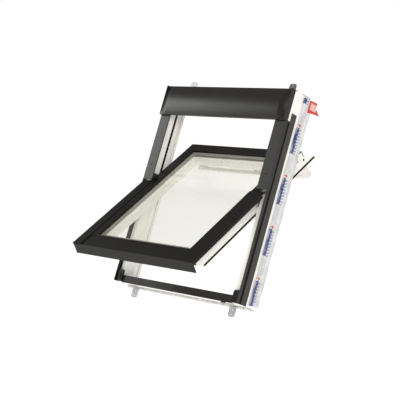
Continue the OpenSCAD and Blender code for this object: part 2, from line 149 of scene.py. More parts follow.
def settle(piece):
    """Bakes where a piece stands into its mesh, so that its object sits at the origin."""
    pick_up(piece)
    bpy.ops.object.transform_apply(location=True, rotation=True, scale=True)
    return piece


def modify(piece, kind, **settings):
    """Adds a modifier and applies it at once."""
    pick_up(piece)
    modifier = piece.modifiers.new(kind.lower(), kind)
    for name, value in settings.items():
        setattr(modifier, name, value)
    bpy.ops.object.modifier_apply(modifier=modifier.name)
    return piece


def soften(piece, width, segments=2, sharp=50):
    """Bevels every edge that is sharper than the angle, in degrees."""
    return modify(piece, "BEVEL", width=width, segments=segments, limit_method="ANGLE",
                  angle_limit=radians(sharp))


def polish(piece, angle=35):
    """Smooth shading, with edges sharper than the angle left crisp and the broad faces left flat."""
    pick_up(piece)
    bpy.ops.object.shade_smooth_by_angle(angle=radians(angle))
    return modify(piece, "WEIGHTED_NORMAL", keep_sharp=True)


def cut(piece, along, *places):
    """Draws cuts across a piece, square to one direction."""
    normal = Vector([letter == along for letter in "XYZ"])
    for place in places:
        choose(piece, "polygons", everything)
        bpy.ops.mesh.bisect(plane_co=place * normal, plane_no=normal)
    lay_down()


def block(name, low, high):
    """A plain box between two opposite corners."""
    lay_down()
    middle = (Vector(low) + Vector(high)) / 2
    bpy.ops.mesh.primitive_cube_add(size=1, location=middle)
    piece = bpy.context.object
    piece.name = piece.data.name = name
    piece.scale = Vector(high) - Vector(low)
    return settle(piece)


def trim(piece, where, along, unwanted):
    """Cuts a piece across and deletes the faces on the unwanted side."""
    cut(piece, along, where)
    choose(piece, "polygons", unwanted)
    bpy.ops.mesh.delete(type="FACE")
    lay_down()


print("hand tools ready")

# %% [markdown]
# ## Folded sheet
# A cover is a strip of aluminium folded along its length. So it is made as a press brake makes it: a flat
# strip as long as the cover, whose free edge is pulled on leg by leg. Each fold gets a small radius, and
# only then does the sheet get its thickness, on the inside, so the drawn line stays the outer face.

# %% Folding
SHEET = mm(1.5)


def strip(name, ends, path, along="X"):
    """An open sheet along X or Y that follows a path of two-number points in the other directions."""
    axis = Vector((1, 0, 0)) if along == "X" else Vector((0, -1, 0))
    spots = [Vector((0, a, b)) if along == "X" else Vector((a, 0, b)) for a, b in path]
    leg = spots[1] - spots[0]
    middle = Vector((abs(axis.x), abs(axis.y), 0)) * sum(ends) / 2 + (spots[0] + spots[1]) / 2
    turn = Matrix((axis, leg.normalized(), axis.cross(leg.normalized()))).transposed()
    lay_down()
    bpy.ops.mesh.primitive_plane_add(size=1, location=middle, rotation=turn.to_euler())
    piece = bpy.context.object
    piece.name = piece.data.name = name
    piece.scale = (abs(ends[1] - ends[0]), leg.length, 1)
    settle(piece)
    free = spots[1] + middle - (spots[0] + spots[1]) / 2
    choose(piece, "edges", lambda p, q: ((p + q) / 2 - free).length < mm(0.01))
    for start, end in zip(spots[1:], spots[2:]):
        bpy.ops.mesh.extrude_region_move(TRANSFORM_OT_translate={"value": end - start})
    lay_down()
    return piece


def thicken(piece, fold=mm(0.9), along="X"):
    """Rounds the folds, gives the sheet its thickness and takes the sharpness off its rims."""
    axis = "XYZ".index(along)
    mesh = piece.data
    faces = {}
    for face in mesh.polygons:
        for key in face.edge_keys:
            faces.setdefault(key, []).append(face.normal)
    bent = {key for key, sides in faces.items() if len(sides) == 2 and sides[0].angle(sides[1]) > 0.4}
    spots = {key: [mesh.vertices[i].co.copy() for i in key] for key in bent}
    lines = [(a, b) for a, b in spots.values() if abs((a - b)[axis]) > 0.9 * (a - b).length]
    if lines:
        wanted = [{tuple(a), tuple(b)} for a, b in lines]
        choose(piece, "edges", lambda p, q: {tuple(p), tuple(q)} in wanted)
        bpy.ops.mesh.bevel(offset=fold, segments=4, affect="EDGES")
    modify(piece, "SOLIDIFY", thickness=SHEET, offset=-1, use_even_offset=True)
    soften(piece, SHEET / 5)
    return polish(piece)


print("the brake is set for", SHEET * 1000, "mm sheet")

# %% [markdown]
# ## Easing the edges of a machined part
# No real timber rail or pressed plate has a perfectly sharp edge, and it is the thin bright line along a
# rounded edge that makes it look solid. Where a part's shape is right as it stands, its mesh is copied, the
# loose triangles are joined, the flat faces are merged and a small bevel runs round every hard edge.

# %% Easing
def eased(node, radius, segments=2, name=None):
    """A clean copy of a part, with its hard edges rounded by the radius."""
    source = nodes[node]
    piece = bpy.data.objects.new(name or node + "_eased", source.data.copy())
    bpy.context.scene.collection.objects.link(piece)
    choose(piece, "vertices", everything)
    bpy.ops.mesh.remove_doubles(threshold=mm(0.01))
    bpy.ops.mesh.dissolve_limited(angle_limit=radians(0.5))
    if radius:
        soften(piece, radius, segments, sharp=40)
    return polish(piece)


BODY_OF = {node: body for body, members in frame["record"]["behaviour"]["bodies"].items() for node in members}
SLOT_OF = {part["node"]: part["material_slot"] for part in frame["record"]["subparts"]}
made = []


def install(piece, place, finish, *stands_for, body=None, slot=None):
    """Tilts a piece from its bench into the window, paints it and lets it ride with its body.

    The place is None for a copy of a part, which stands in the window already.
    """
    if place is not None:
        piece.data.transform(place)
    piece.data.materials.clear()
    piece.data.materials.append(finish)
    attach(piece, body or BODY_OF[stands_for[0]])
    if stands_for:
        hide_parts(*stands_for)
    made.append(piece)
    return piece


# %% [markdown]
# ## Writing a finish as sums
# A finish is a small network of nodes. Drawn by hand it is easy to read, but in code it turns into pages of
# links. So one small class wraps a socket and lets Python's own +, -, *, / and abs() add the Math nodes,
# and one method adds any other node.

# %% Paint box
class Wire:
    def __init__(self, paint, socket):
        self.paint, self.socket = paint, socket

    def maths(self, operation, *values):
        return self.paint.node("ShaderNodeMath", {"operation": operation}, dict(enumerate(values)))

    def __add__(self, other): return self.maths("ADD", self, other)
    def __sub__(self, other): return self.maths("SUBTRACT", self, other)
    def __rsub__(self, other): return self.maths("SUBTRACT", other, self)
    def __mul__(self, other): return self.maths("MULTIPLY", self, other)
    def __truediv__(self, other): return self.maths("DIVIDE", self, other)
    def __abs__(self): return self.maths("ABSOLUTE", self)
    def part(self): return self.maths("FRACT", self)
    __radd__, __rmul__ = __add__, __mul__


class Paint:
    """One finish. Numbers that are the same all over go straight onto the shader's own sockets."""
    def __init__(self, name, **constants):
        self.material = bpy.data.materials.new(name)
        self.material.use_nodes = True
        self.tree = self.material.node_tree
        self.shader = self.tree.nodes["Principled BSDF"]
        for socket, value in constants.items():
            self.shader.inputs[socket.replace("_", " ")].default_value = value

    def connect(self, value, socket):
        if isinstance(value, Wire):
            self.tree.links.new(value.socket, socket)
        else:
            socket.default_value = value

    def node(self, kind, settings=None, inputs=None, out=0):
        added = self.tree.nodes.new(kind)
        for name, value in (settings or {}).items():
            setattr(added, name, value)
        for place, value in (inputs or {}).items():
            self.connect(value, added.inputs[place])
        return Wire(self, added.outputs[out])

    def drawing(self, tilt=0.0, stretch=(1, 1, 1)):
        """The place on the piece, turned back to its bench and stretched."""
        spot = self.node("ShaderNodeTexCoord", out="Object")
        flat = self.node("ShaderNodeMapping", None, {"Vector": spot, "Rotation": (-tilt, 0, 0)})
        return self.node("ShaderNodeVectorMath", {"operation": "MULTIPLY"}, {0: flat, 1: stretch})

    def axis(self, place, letter):
        return self.node("ShaderNodeSeparateXYZ", None, {0: place}, "XYZ".index(letter))

    def noise(self, place, scale, detail=3, rough=0.5):
        return self.node("ShaderNodeTexNoise", None, {"Vector": place, "Scale": scale, "Detail": detail,
                                                      "Roughness": rough})

    def cells(self, place, scale, out=0):
        return self.node("ShaderNodeTexVoronoi", {"feature": "F1"}, {"Vector": place, "Scale": scale}, out)

    def ramp(self, value, low, high):
        """Goes smoothly from 0 to 1 while value goes from low to high."""
        return self.node("ShaderNodeMapRange", {"interpolation_type": "SMOOTHSTEP"},
                         {0: value, 1: low, 2: high})

    def mix(self, share, plain, other):
        colours = [c if isinstance(c, Wire) else (*c, 1) for c in (plain, other)]
        return self.node("ShaderNodeMix", {"data_type": "RGBA"}, {0: share, 6: colours[0], 7: colours[1]}, 2)

    def bump(self, height, depth, strength=1.0, over=None):
        inputs = {"Height": height, "Distance": depth, "Strength": strength}
        if over is not None:
            inputs["Normal"] = over
        return self.node("ShaderNodeBump", None, inputs)

    def done(self, **wires):
        for socket, wire in wires.items():
            self.connect(wire, self.shader.inputs[socket.replace("_", " ")])
        return self.material


print("paint box ready")

# %% [markdown]
# ## White lacquered timber
# The frame and sash are glued pine under a white lacquer. The grain barely shows: it telegraphs through as
# very long, shallow streaks, and the sheen changes a little from streak to streak. Stretching a noise hard
# along the length of each member gives that, so jambs and rails need the streaks in different directions.

# %% White timber
LACQUER = (0.90, 0.885, 0.85)


def white_lacquer(name, tilt, along):
    paint = Paint(name, Specular_IOR_Level=0.45)
    grain_way = (9, 0.7, 9) if along == "Y" else (0.7, 9, 9)
    grain = paint.drawing(tilt, grain_way)
    streaks = paint.noise(grain, 14, 5, 0.62)
    fibres = paint.noise(grain, 120, 3, 0.6)
    cloud = paint.noise(paint.drawing(tilt), 5, 3)
    shade = paint.ramp(streaks * 0.7 + cloud * 0.3, 0.36, 0.66)
    deep = tuple(0.93 * c for c in LACQUER)
    colour = paint.mix(shade, deep, LACQUER)
    relief = paint.bump(fibres, mm(0.25), 0.35, paint.bump(streaks, mm(0.8), 0.25))
    return paint.done(Base_Color=colour, Roughness=0.36 + 0.16 * cloud, Normal=relief)


ROOF, SASH = PITCH, PITCH - SWING
timber_up = white_lacquer("white timber, grain up the slope", ROOF, "Y")
timber_across = white_lacquer("white timber, grain across", ROOF, "X")
stile_timber = white_lacquer("white sash timber, grain up the sash", SASH, "Y")
rail_timber = white_lacquer("white sash timber, grain across", SASH, "X")
print("white timber in four grain directions")

# %% [markdown]
# ## Powder-coated covers
# The outside covers are aluminium with a dark grey powder coat. Powder flows out into a fine orange peel,
# which a satin paint hides but a low light shows, and weather leaves a faint dusty bloom. The coat is a
# plain dielectric, so the metal under it never shows.

# %% Dark covers
DUST = 0.25


def powder_coat(name, tilt, tone, sheen=0.36, gloss=0.5):
    paint = Paint(name, Specular_IOR_Level=gloss)
    place = paint.drawing(tilt)
    peel = paint.noise(place, 620, 2, 0.5)
    bloom = paint.noise(paint.drawing(tilt, (1, 0.35, 1)), 11, 4, 0.6)
    specks = paint.ramp(paint.noise(place, 1500, 1), 0.60, 0.72)
    lighter = tuple(1.55 * c + 0.004 for c in tone)
    colour = paint.mix(paint.ramp(bloom, 0.35, 0.75) * DUST + specks * DUST, tone, lighter)
    return paint.done(Base_Color=colour, Roughness=sheen + 0.12 * bloom,
                      Normal=paint.bump(peel, mm(0.12), 0.5))


roof_cover = powder_coat("dark cover on the frame", ROOF, (0.0115, 0.0110, 0.0095))
sash_cover = powder_coat("dark cover on the sash", SASH, (0.0048, 0.0044, 0.0036), 0.40, gloss=0.22)
hood_cover = powder_coat("dark cover of the hood", ROOF, (0.0095, 0.0090, 0.0078), 0.30)
cladding_grey = powder_coat("grey side cladding", ROOF, (0.055, 0.053, 0.047), 0.5, gloss=0.25)
print("three dark coats and one grey")

# %% [markdown]
# ## Rubber, moulded plastic, zinc and spacer
# The small parts are told apart by how they shine. Extruded rubber is dull with fine draw lines, moulded
# plastic has a spark-eroded grain, and zinc freezes into flat crystals, each with its own grey.

# %% Small-part finishes
RUBBER_DARK, RUBBER_BLOOM = Vector((0.0045, 0.0043, 0.0040)), Vector((0.014, 0.0135, 0.012))


def rubber(name, tilt, light=1.0):
    paint = Paint(name, Specular_IOR_Level=0.12)
    lines = paint.noise(paint.drawing(tilt, (1, 0.05, 1)), 700, 2)
    bloom = paint.noise(paint.drawing(tilt), 30, 4)
    colour = paint.mix(paint.ramp(bloom, 0.45, 0.8) * 0.5, light * RUBBER_DARK, light * RUBBER_BLOOM)
    return paint.done(Base_Color=colour, Roughness=0.55 + 0.2 * bloom,
                      Normal=paint.bump(lines, mm(0.15), 0.5))


def moulded(name, tone, sheen=0.42):
    paint = Paint(name, Specular_IOR_Level=0.45)
    place = paint.drawing()
    pits = paint.cells(place, 900)
    cloud = paint.noise(place, 40, 3)
    colour = paint.mix(cloud, tuple(0.85 * c for c in tone), tuple(min(1, 1.1 * c) for c in tone))
    return paint.done(Base_Color=colour, Roughness=sheen + 0.14 * cloud,
                      Normal=paint.bump(pits, mm(0.08), 0.5))


def galvanised(name, tone=0.55, metal=1.0):
    paint = Paint(name, Metallic=metal)
    place = paint.drawing()
    crystals = paint.cells(place, 260, out=1)
    grey = paint.node("ShaderNodeRGBToBW", None, {0: crystals})
    scuffs = paint.noise(paint.drawing(0, (1, 1, 6)), 160, 3)
    dull, bright = tone * Vector((0.62, 0.63, 0.65)), tone * Vector((1.15, 1.15, 1.17))
    colour = paint.mix(grey, dull, bright)
    return paint.done(Base_Color=colour, Roughness=0.30 + 0.22 * grey + 0.1 * scuffs,
                      Normal=paint.bump(scuffs, mm(0.1), 0.4))


def spacer_bar():
    paint = Paint("perforated spacer bar", Metallic=0.15)
    place = paint.drawing(SASH)
    dots = paint.cells(place, 330)
    colour = paint.mix(paint.ramp(dots, 0.2, 0.3), (0.14, 0.14, 0.125), (0.30, 0.295, 0.265))
    return paint.done(Base_Color=colour, Roughness=0.5 + 0.2 * paint.noise(place, 60))


frame_rubber = rubber("black rubber on the frame", ROOF)
sash_rubber = rubber("black rubber on the sash", SASH, 2.2)
black_plastic = moulded("black moulded plastic", (0.010, 0.0098, 0.0088))
white_plastic = moulded("white coated control bar", (0.76, 0.75, 0.71), 0.34)
zinc = galvanised("galvanised steel")
pale_zinc = galvanised("pale galvanised steel", 0.66, 0.35)
# A darker, fully metallic copy of the zinc, used on the frame hinges and the top right bracket.
grey_zinc = galvanised("darker galvanised steel", 0.22)
spacer = spacer_bar()
print("rubber, plastic, zinc and spacer mixed")

# %% [markdown]
# ## Clear glass
# A pane does two things at once: it lets most light straight through, a little greener than it came, and
# it mirrors the rest, more and more as the view gets flatter. The fifth power of Facing is the usual short
# formula for that share, the same from both sides of a face, and it mixes a clear shader with a mirror.

# %% Glass
def clear_glass():
    paint = Paint("clear glass", Metallic=1.0, Roughness=0.04, Base_Color=(0.94, 0.94, 0.92, 1))
    place = paint.drawing(SASH)
    clear = paint.tree.nodes.new("ShaderNodeBsdfTransparent")
    clear.inputs["Color"].default_value = (0.990, 0.992, 0.978, 1)
    facing = paint.node("ShaderNodeLayerWeight", None, {"Blend": 0.5}, "Facing")
    share = (0.020 + 0.95 * facing.maths("POWER", facing, 5)) * (0.9 + 0.1 * paint.noise(place, 6))
    both = paint.tree.nodes.new("ShaderNodeMixShader")
    paint.connect(share, both.inputs[0])
    paint.tree.links.new(clear.outputs[0], both.inputs[1])
    paint.tree.links.new(paint.shader.outputs[0], both.inputs[2])
    paint.tree.links.new(both.outputs[0], paint.tree.nodes["Material Output"].inputs["Surface"])
    return paint.material


glass = clear_glass()
print("glass poured")

# %% [markdown]
# ## The collar's film and the label
# The insulating collar is foam wrapped in white film, which carries bands, bars and dots. The pattern
# repeats every 236 mm: a red dot, a blue band with a row of slanted bars beside it, then a faint row of grey
# dashes. Each mark is a product of smooth steps: one rises at its near edge and one falls at its far edge.
# A finish measures from the window's origin, which lies 82 mm behind the covers' faces.

# %% Printed film
REPEAT, PRINT_START = mm(236), mm(360)
PRINT_EDGE, FILM_WIDTH = mm(-2), mm(58)
# The film's own white, and a grey painted as shade into the hollows of its creases.
CREASE_SHADE_WHITE, FILM_WHITE = (0.53, 0.535, 0.54), (0.72, 0.72, 0.71)
GREY_BLUE, SOFT_BLUE = (0.30, 0.34, 0.46), (0.12, 0.16, 0.36)
NAVY, RED = (0.020, 0.042, 0.17), (0.52, 0.05, 0.045)


def printed_film(name, way):
    """White film with the print running along X or Y."""
    paint = Paint(name, Specular_IOR_Level=0.5)
    flat = paint.drawing(ROOF)
    along, out = paint.axis(flat, way), paint.axis(flat, "Z")
    step = ((PRINT_START - along) / REPEAT).part()
    across = (PRINT_EDGE - out) / FILM_WIDTH

    def inside(value, low, high, soft=0.008):
        return paint.ramp(value, low, low + soft) * (1 - paint.ramp(value, high - soft, high))

    def stripes(count, lean, fill):
        wave = (step * count + across * lean).part()
        return inside(wave, (1 - fill) / 2, (1 + fill) / 2, 0.08)

    band = inside(step, 0.075, 0.60) * inside(across, 0.0, 0.26, 0.03)
    bars = inside(step, 0.085, 0.60) * inside(across, 0.20, 0.52, 0.06) * stripes(17, 1.3, 0.60)
    gaps = inside(step, 0.10, 0.58) * inside(across, 0.09, 0.20, 0.04) * stripes(13, 0.8, 0.40)
    dashes = inside(step, 0.67, 0.97) * inside(across, 0.08, 0.50, 0.05) * stripes(34, 1.2, 0.42)
    dot = 1 - paint.ramp(abs(step - 0.035) / 0.045 + abs(across - 0.17) / 0.20, 0.72, 1.0)
    creases = paint.noise(paint.drawing(ROOF, (1, 0.5, 1)), 42, 4, 0.6)
    # Painted shade: the film turns grey in the hollows of the creases, led by the same noise that bumps them.
    film = paint.mix(paint.ramp(creases, 0.3, 0.7), CREASE_SHADE_WHITE, FILM_WHITE)
    colour = paint.mix(dashes * 0.6, film, GREY_BLUE)
    colour = paint.mix(bars * 0.7, colour, SOFT_BLUE)
    colour = paint.mix(band * (1 - 0.45 * gaps), colour, NAVY)
    colour = paint.mix(dot * 0.85, colour, RED)
    wrinkles = paint.bump(creases, mm(3), 0.55, paint.bump(paint.noise(flat, 160, 2), mm(0.6), 0.3))
    return paint.done(Base_Color=colour, Roughness=0.30 + 0.25 * creases, Normal=wrinkles)


film = printed_film("printed collar film", "Y")
end_film = printed_film("collar film printed across", "X")
print("film printed every", REPEAT * 1000, "mm")

# %% Red label
LABEL = measured("label_tag", ON_ROOF)


def card_print():
    paint = Paint("red card label", Specular_IOR_Level=0.4)
    flat = paint.drawing(ROOF)
    up = (paint.axis(flat, "Y") - LABEL[0].y) / (LABEL[1].y - LABEL[0].y)
    out = (paint.axis(flat, "Z") - LABEL[0].z - BATTENS) / (LABEL[1].z - LABEL[0].z)
    fibres = paint.noise(flat, 90, 4, 0.6)
    panel = (paint.ramp(up, 0.30, 0.33) * (1 - paint.ramp(up, 0.78, 0.81))
             * paint.ramp(out, 0.36, 0.38) * (1 - paint.ramp(out, 0.86, 0.88)))
    rows = paint.ramp(abs((up * 9).part() - 0.5), 0.22, 0.30)
    red = paint.mix(fibres, (0.52, 0.045, 0.035), (0.64, 0.075, 0.06))
    colour = paint.mix(panel * (0.35 + 0.45 * rows), red, (0.86, 0.76, 0.73))
    return paint.done(Base_Color=colour, Roughness=0.42 + 0.15 * fibres,
                      Normal=paint.bump(fibres, mm(0.4), 0.3))


card = card_print()
print("label is", [round(v * 1000) for v in LABEL[1] - LABEL[0]], "mm over its corners")

# %% [markdown]
# ## The hood
# The hood keeps rain off the gap above the sash: one long sheet with a return lip at its foot, a rounded
# face and a flange down behind the frame head. The lip and the foot are pulled out as flat legs. The face
# is a true arc, so its edge is spun about the arc's centre, which is worked out from the two ends and the
# radius. Towards both ends the bulge dies away to a straight slope, as on the real pressing. So each end is
# cut across a few times, and the corners there are lowered towards the chord along a quarter of a cosine.
# ROLL is the arc's radius, DOME how far in from an end the bulge starts to die away, LIP the depth of the
# return lip and SEAT its height above the covers.

# %% Hood
HOOD = measured("hood", ON_ROOF)
FOOT, TOP = Vector((0, HOOD[0].y, mm(14))), Vector((0, HOOD[1].y, 0))
ROLL, DOME = mm(170), mm(42)
SEAT, LIP = mm(0.5), mm(9)


def rolled(name, ends, path, grow=0.0):
    """A strip whose last leg ends at the hood's foot, spun on from there up to the head of the hood."""
    run = TOP - FOOT
    out = Vector((0, -run.z, run.y)).normalized()
    centre = (FOOT + TOP) / 2 - out * (ROLL ** 2 - (run.length / 2) ** 2) ** 0.5
    sweep = 2 * atan2(run.length / 2, (centre - (FOOT + TOP) / 2).length)
    piece = strip(name, ends, path)
    choose(piece, "edges", lambda p, q: ((p + q) / 2 - FOOT - Vector((sum(ends) / 2, 0, 0))).length < mm(0.5))
    bpy.ops.mesh.spin(steps=36, angle=sweep, center=centre, axis=(1, 0, 0))
    lay_down()
    if grow:
        for corner in piece.data.vertices:
            spoke = Vector((0, corner.co.y, corner.co.z)) - centre
            corner.co += spoke.normalized() * grow if corner.co.z > mm(0.2) else out * grow
    return piece


def lower_the_ends(piece, outer):
    """Presses the bulge down towards the chord over the last few centimetres of each end."""
    run = (TOP - FOOT).normalized()
    out = Vector((0, -run.z, run.y))
    for corner in piece.data.vertices:
        reach = (abs(corner.co.x) - (outer - DOME)) / DOME
        rise = (Vector((0, corner.co.y, corner.co.z)) - FOOT).dot(out)
        if reach > 0 and rise > mm(0.3):
            corner.co -= out * rise * (1 - cos(pi / 2 * min(reach, 1)))


def rolled_hood():
    end = HOOD[1].x - mm(1)
    path = [(FOOT.y + LIP, SEAT), (FOOT.y, SEAT), (FOOT.y, FOOT.z)]
    hood = rolled("rolled_hood", (-end, end), path)
    choose(hood, "edges", lambda p, q: ((p + q) / 2 - TOP).length < mm(0.5))
    bpy.ops.mesh.extrude_region_move(TRANSFORM_OT_translate={"value": (0, 0, HOOD[0].z - TOP.z)})
    cut(hood, "X", *(sign * (end - DOME * share) for sign in (-1, 1)
                     for share in (1, 0.85, 0.7, 0.55, 0.4, 0.25, 0.12)))
    lower_the_ends(hood, end)
    return thicken(hood, fold=mm(1.2))


hood = install(rolled_hood(), ON_ROOF, hood_cover, "hood")

# %% [markdown]
# Moulded caps close both ends. A cap is a second, slightly larger skin over the last bit of the hood, so it
# is rolled and lowered the same way. A thin side plate with a straight front edge is joined on to it: it
# hides the gap beside the frame head and stands a little proud, as a rim.

# %% Hood end caps
def hood_cap(side):
    sign = 1 if side == "right" else -1
    end = HOOD[1].x + mm(1.2)
    ends = sorted((sign * (end - mm(19)), sign * (end - mm(1))))
    cap = rolled(f"hood_cap_{side}", ends, [(FOOT.y, SEAT), (FOOT.y, FOOT.z)], mm(0.9))
    cut(cap, "X", *(sign * (end - DOME * share) for share in (0.36, 0.27, 0.18, 0.09)))
    lower_the_ends(cap, end)
    modify(cap, "SOLIDIFY", thickness=mm(1.2), offset=-1)
    soften(cap, mm(0.3))
    near, far = sorted((sign * (end - mm(2)), sign * end))
    plate = block("rim", (near, FOOT.y + mm(1), mm(-15)), (far, TOP.y - mm(0.6), FOOT.z))
    soften(plate, mm(0.8), 3)
    pick_up(cap)
    plate.select_set(True)
    bpy.ops.object.join()
    return polish(cap)


for side in ("left", "right"):
    install(hood_cap(side), ON_ROOF, hood_cover, f"hood_end_{side}")

# %% [markdown]
# ## Covers on the frame
# An upper jamb cover is folded over the timber: a short flange towards the sash, a flat face and a deep
# flange on the outside. Below the pivot only a narrow flange is left, so that the sash can swing past it.
# It stands on the LEDGE, which is also the level of the sill cover.

# %% Frame covers
LEDGE = mm(-17.5)


def from_the_middle(low, high):
    """How far the near and the far edge of a part are from the window's middle line."""
    return sorted((abs(low.x), abs(high.x)))


def mirrored(path, side):
    """Path points on the right; on the left the strip runs the other way, so its outside stays outside."""
    return path if side == "right" else [(-a, b) for a, b in reversed(path)]


def upper_jamb_cover(side):
    low, high = measured(f"upper_cover_{side}", ON_ROOF)
    inner, outer = from_the_middle(low, high)
    path = [(inner, mm(-5)), (inner, 0), (outer, 0), (outer, low.z)]
    cover = strip(f"upper_jamb_cover_{side}", (low.y, high.y), mirrored(path, side), "Y")
    return thicken(cover, along="Y")


def lower_jamb_flange(side):
    low, high = measured(f"lower_jamb_cover_{side}", ON_ROOF)
    inner, outer = from_the_middle(low, high)
    path = [(inner, LEDGE), (outer - SHEET, LEDGE), (outer - SHEET, 0)]
    flange = strip(f"lower_jamb_flange_{side}", (low.y, high.y), mirrored(path, side), "Y")
    return thicken(flange, fold=mm(0.6), along="Y")


for side in ("left", "right"):
    upper = install(upper_jamb_cover(side), ON_ROOF, roof_cover, f"upper_cover_{side}")
    lower = install(lower_jamb_flange(side), ON_ROOF, roof_cover, f"lower_jamb_cover_{side}")

# %% [markdown]
# ## Covers on the sash
# The lower side covers are one folding each: up from the glass, across, a small step, across again and
# down over the frame. The foot is cut back to lap over the bottom cover and the outer flange ends short
# of the pivot, so the folded sheet is trimmed with bisect before it gets its thickness.

# %% Sash side covers
TO_GLASS, SUNK, SKIRT = mm(-12.5), mm(-3), mm(-15)
RAISED_WIDTH, SKIRT_TOP = mm(52), mm(-30)


def lower_side_cover(side):
    low, high = measured(f"sash_cover_lower_{side}", ON_SASH)
    inner, outer = from_the_middle(low, high)
    step = outer - RAISED_WIDTH
    path = [(inner, TO_GLASS), (inner, SUNK), (step, SUNK), (step, 0), (outer, 0), (outer, SKIRT)]
    cover = strip(f"lower_side_cover_{side}", (low.y, high.y), mirrored(path, side), "Y")
    foot = measured("glazing_bead", ON_SASH)[0].y
    rail_low, rail_high = measured("sash_bottom_rail", ON_SASH)
    lap, stile = rail_low.y - mm(4), rail_high.x + mm(0.3)
    cut(cover, "X", stile if side == "right" else -stile)
    trim(cover, foot, "Y", lambda c, n: c.y < foot and abs(c.x) < stile)
    trim(cover, lap, "Y", lambda c, n: c.y < lap and abs(c.x) < step - mm(0.1))
    trim(cover, SKIRT_TOP, "Y", lambda c, n: c.y > SKIRT_TOP and c.z < mm(-4) and abs(c.x) > step)
    return thicken(cover, along="Y")


def upper_side_cover(side):
    low, high = measured(f"sash_cover_upper_{side}", ON_SASH)
    inner, outer = from_the_middle(low, high)
    path = [(inner, TO_GLASS), (inner, high.z), (outer, high.z), (outer, low.z)]
    return thicken(strip(f"upper_side_cover_{side}", (low.y, high.y), mirrored(path, side), "Y"), along="Y")


for side in ("left", "right"):
    lower = install(lower_side_cover(side), ON_SASH, sash_cover, f"sash_cover_lower_{side}")
    upper = install(upper_side_cover(side), ON_SASH, sash_cover, f"sash_cover_upper_{side}")

# %% [markdown]
# The top cover turns down behind the sash. The bottom cover carries a slanted drip edge that throws rain
# clear of the sill. It is narrower where it tucks in between the two stiles.

# %% Sash top and bottom covers
FOOT_FACE = mm(-4.5)


def top_cover():
    low, high = measured("sash_cover_top", ON_SASH)
    path = [(low.y, TO_GLASS), (low.y, high.z), (high.y, high.z), (high.y, low.z)]
    return thicken(strip("sash_top_cover", (low.x, high.x), path))


def bottom_cover():
    low, high = measured("sash_cover_bottom", ON_SASH)
    head = measured("glazing_bead", ON_SASH)[0].y
    rail_low, rail_high = measured("sash_bottom_rail", ON_SASH)
    tuck, stile = rail_low.y - mm(1), rail_high.x
    path = [(low.y, low.z), (low.y + mm(5), FOOT_FACE), (head, FOOT_FACE)]
    cover = strip("sash_bottom_cover", (low.x, high.x), path)
    trim(cover, tuck, "Y", lambda c, n: False)
    for edge in (-stile, stile):
        trim(cover, edge, "X", lambda c, n: c.y > tuck and abs(c.x) > stile)
    return thicken(cover, fold=mm(1.5))


sash_top = install(top_cover(), ON_SASH, sash_cover, "sash_cover_top")
sash_foot = install(bottom_cover(), ON_SASH, sash_cover, "sash_cover_bottom")

# %% [markdown]
# ## Timber, cladding and seals
# Timber rails are planed and then lightly rounded, by a little over a millimetre, so that lacquer holds on
# the arrises. Seals are extruded with soft lips, so their bevel is a large share of a small section.

# %% Timber
members = {"frame_jamb_left": timber_up, "frame_jamb_right": timber_up, "frame_head": timber_across,
           "frame_sill": timber_across, "sash_stile_left": stile_timber, "sash_stile_right": stile_timber,
           "sash_top_rail": rail_timber, "sash_bottom_rail": rail_timber}
for node, finish in members.items():
    install(eased(node, mm(1.2), 3), None, finish, node)

# %% Cladding, channels and seals
for side in ("left", "right"):
    cladding, channel = f"side_cladding_{side}", f"side_channel_{side}"
    install(eased(cladding, mm(0.4)), None, cladding_grey, cladding)
    install(eased(channel, mm(0.3), 1), None, frame_rubber, channel)
seals = {"frame_gasket": frame_rubber, "sash_seal": sash_rubber, "glazing_gasket": sash_rubber}
for node, finish in seals.items():
    install(eased(node, mm(0.6), 3), None, finish, node)

# %% Small pressed and moulded parts
small = {"corner_block_left": black_plastic, "corner_block_right": black_plastic, "sill_foot": black_plastic,
         "sill_cover": roof_cover, "frame_hinge_left": grey_zinc, "frame_hinge_right": grey_zinc,
         "sash_hinge_left": zinc, "sash_hinge_right": zinc, "lock_case": zinc, "lock_keeper": zinc,
         "latch_tongue": zinc, "bar_lugs": white_plastic, "glazing_bead": cladding_grey}
for node, finish in small.items():
    install(eased(node, mm(0.5)), None, finish, node)
install(eased("control_bar", mm(2.2), 3), None, white_plastic, "control_bar")

# %% [markdown]
# ## Glazing tape
# The inner pane is bedded on a soft grey tape, which closes the slit between the glass and the timber. The
# tape is a flat ring like the gasket in front, only wider, so the gasket's ring is copied, its corners are
# moved out to the timber's opening, and it is set down behind the inner pane.

# %% Glazing tape
TAPE_WIDTH, TAPE_FRONT, TAPE_BACK = mm(9), mm(0.1), mm(1.9)


def glazing_tape():
    ring = eased("glazing_gasket", 0, name="glazing_tape")
    ring.data.transform(ON_SASH.inverted())
    low, high = measured("glazing_gasket", ON_SASH)
    rail, top = measured("sash_bottom_rail", ON_SASH), measured("sash_top_rail", ON_SASH)
    pane = measured("glass_inner", ON_SASH)[0].z
    for corner in ring.data.vertices:
        x, y, z = corner.co
        inner = abs(x) < high.x - mm(1) and low.y + mm(1) < y < high.y - mm(1)
        wide = 0 if inner else TAPE_WIDTH
        corner.co.x = (rail[1].x + wide) * (1 if x > 0 else -1)
        corner.co.y = rail[1].y - wide if y < 0 else top[0].y + wide
        corner.co.z = pane - (TAPE_FRONT if z > (low.z + high.z) / 2 else TAPE_BACK)
    soften(ring, mm(0.5))
    return polish(ring)


tape = moulded("grey glazing tape", (0.42, 0.415, 0.38), 0.62)
install(glazing_tape(), ON_SASH, tape, body="sash", slot="black_rubber")

# %% [markdown]
# ## Fixing brackets
# Four pressed steel brackets carry the window on the roof battens. Their holes are where the construction
# has them. A press also rounds the free corners, so the two short edges at each free end are bevelled.

